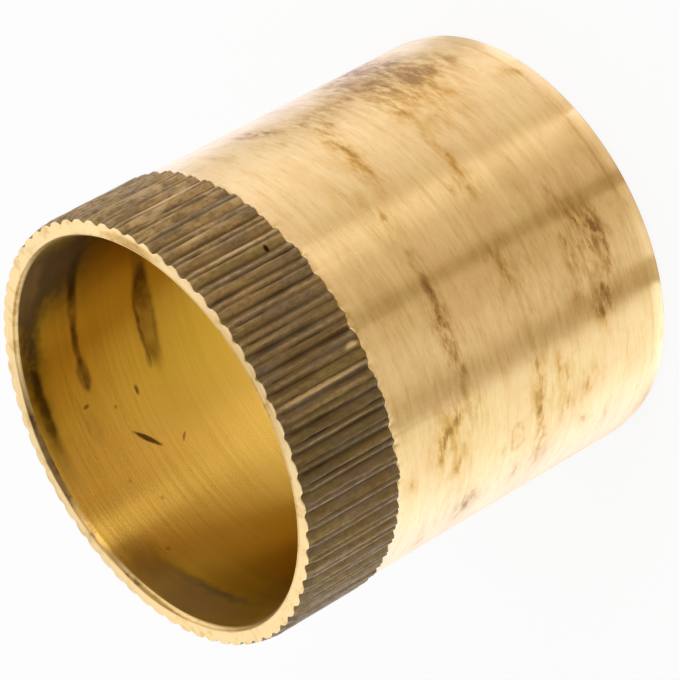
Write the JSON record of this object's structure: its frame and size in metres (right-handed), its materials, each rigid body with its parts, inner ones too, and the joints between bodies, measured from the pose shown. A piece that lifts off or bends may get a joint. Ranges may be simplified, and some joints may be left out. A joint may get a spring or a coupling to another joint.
{
  "type": "pipe support insert",
  "caption": "Thin-walled brass sleeve with a plain body and a straight-knurled end, pushed into a tube's end to stiffen it against a compression fitting's ring.",
  "frame": {"origin": "centre of the plain end face, on the sleeve's axis", "axes": "+Z along the sleeve's axis, from the plain end up to the knurled end"},
  "size_m": [0.0202, 0.0202, 0.0212],
  "materials": {
    "turned_brass": "bright turned brass with faint rings, brown tarnish stains and a darkened knurl"
  },
  "bodies": {
    "root": {"support_insert": "turned_brass"}
  },
  "joints": []
}
